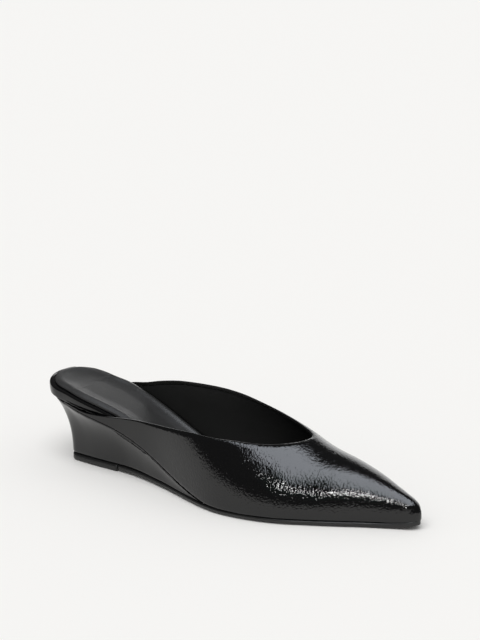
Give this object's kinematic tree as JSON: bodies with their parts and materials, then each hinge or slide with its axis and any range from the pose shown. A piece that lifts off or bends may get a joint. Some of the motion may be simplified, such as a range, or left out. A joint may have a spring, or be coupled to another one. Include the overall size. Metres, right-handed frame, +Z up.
{
  "type": "pointed-toe mule",
  "caption": "Backless pointed-toe mule for a right foot, in crinkled patent leather on a low covered wedge heel, with a padded sock liner.",
  "frame": {"origin": "on the floor, under the middle of the shoe's box", "axes": "+X towards the toe, +Y towards the inside of the foot (the big toe), +Z up"},
  "size_m": [0.2626, 0.0776, 0.0562],
  "materials": {
    "upper_patent": "black crinkled patent leather, high gloss",
    "rim_patent": "black crinkled patent leather wrapped round the board's edge, high gloss",
    "sock_leather": "black smooth leather, satin",
    "wedge_patent": "black smooth patent leather cover, gloss",
    "sole_rubber": "black resin sheet, satin",
    "heel_rubber": "black rubber, matte"
  },
  "bodies": {
    "root": {"upper": "upper_patent", "footbed": "rim_patent", "sock_liner": "sock_leather", "wedge": "wedge_patent", "outsole": "sole_rubber", "top_piece": "heel_rubber"}
  },
  "joints": []
}
